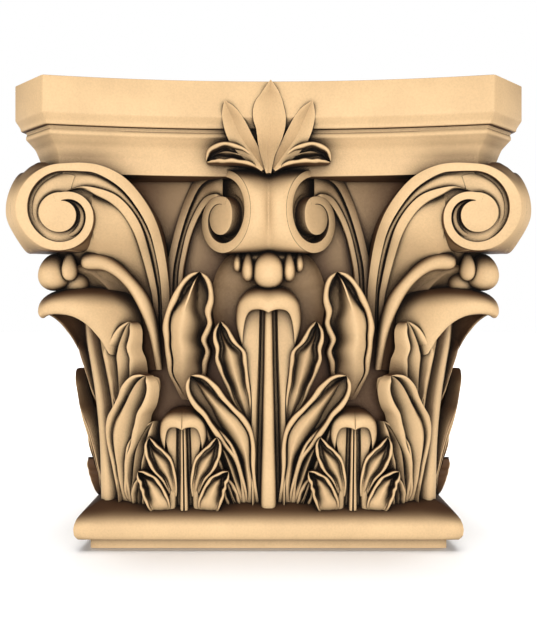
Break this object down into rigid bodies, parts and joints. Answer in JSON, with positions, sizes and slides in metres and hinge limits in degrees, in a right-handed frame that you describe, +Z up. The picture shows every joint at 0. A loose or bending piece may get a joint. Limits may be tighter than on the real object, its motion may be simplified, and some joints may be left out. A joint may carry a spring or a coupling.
{
  "type": "corinthian capital",
  "caption": "Square carved stone capital with tiers of leaves, corner volutes, helices, palmettes and a hollow-sided abacus; it tops a square pillar and carries the beam or arch above",
  "frame": {"origin": "centre of the underside, where the capital sits on its pillar", "axes": "+Z up, the front face looks along -Y, +X to the right of someone looking at the front"},
  "size_m": [0.412, 0.412, 0.3818],
  "materials": {
    "carved_stone": "smooth carved buff stone, darkened in its recesses"
  },
  "bodies": {
    "root": {"capital": "carved_stone"}
  },
  "joints": []
}
